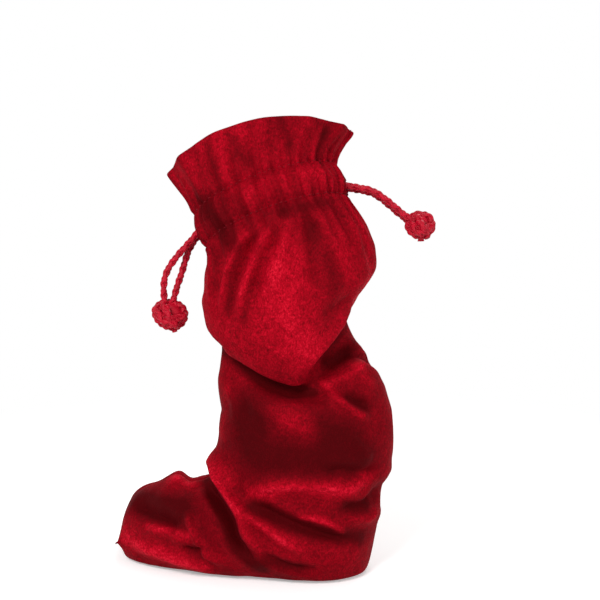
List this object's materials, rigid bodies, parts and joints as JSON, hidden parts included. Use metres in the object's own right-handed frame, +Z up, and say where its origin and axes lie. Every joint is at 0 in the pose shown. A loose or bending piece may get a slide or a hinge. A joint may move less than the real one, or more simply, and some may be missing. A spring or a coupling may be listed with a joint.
{
  "type": "drawstring gift sack",
  "caption": "Soft velvet drawstring sack standing open on its slumped base, with a stitched casing round the neck, a flared header and a knotted braided cord at each side.",
  "frame": {"origin": "on the table, under the middle of the standing part of the sack, on the flat sole", "axes": "+Z up, -Y to the front, +X to the right; the empty end of the sack lies on the table towards -X"},
  "size_m": [0.2028, 0.104, 0.29],
  "materials": {
    "velvet": "crushed velvet, pile outside",
    "velvet_backing": "matt knitted back of the velvet",
    "thread": "matt sewing thread",
    "cord": "satin braided cord"
  },
  "bodies": {
    "sack": {"front_panel": "velvet", "back_panel": "velvet", "front_facing": "velvet", "back_facing": "velvet", "left_side_seam": "velvet_backing", "right_side_seam": "velvet_backing", "bottom_seam": "velvet_backing", "upper_stitch_row": "thread", "lower_stitch_row": "thread", "left_exit_tacks": "thread", "right_exit_tacks": "thread", "left_drawcord_run": "cord", "right_drawcord_run": "cord"},
    "left_legs": {"left_front_leg": "cord", "left_back_leg": "cord"},
    "left_knot": {"left_knot": "cord"},
    "right_legs": {"right_front_leg": "cord", "right_back_leg": "cord"},
    "right_knot": {"right_knot": "cord"}
  },
  "joints": [
    {"name": "left_swing", "type": "hinge", "parent": "sack", "child": "left_legs", "pos_m": [-0.0646, -0.0004, 0.21605], "axis": [0, 1, 0], "range_deg": [-4, 100]},
    {"name": "left_draw", "type": "slide", "parent": "left_legs", "child": "left_knot", "axis": [-0.3345, -0.0246, -0.9421], "range_m": [-0.012, 0.07], "deforming": ["left_front_leg", "left_back_leg"]},
    {"name": "right_swing", "type": "hinge", "parent": "sack", "child": "right_legs", "pos_m": [0.0309, -0.0021, 0.24625], "axis": [0, -1, 0], "range_deg": [-24, 87]},
    {"name": "right_draw", "type": "slide", "parent": "right_legs", "child": "right_knot", "axis": [0.8786, -0.014, -0.4773], "range_m": [-0.012, 0.07], "deforming": ["right_front_leg", "right_back_leg"]}
  ]
}
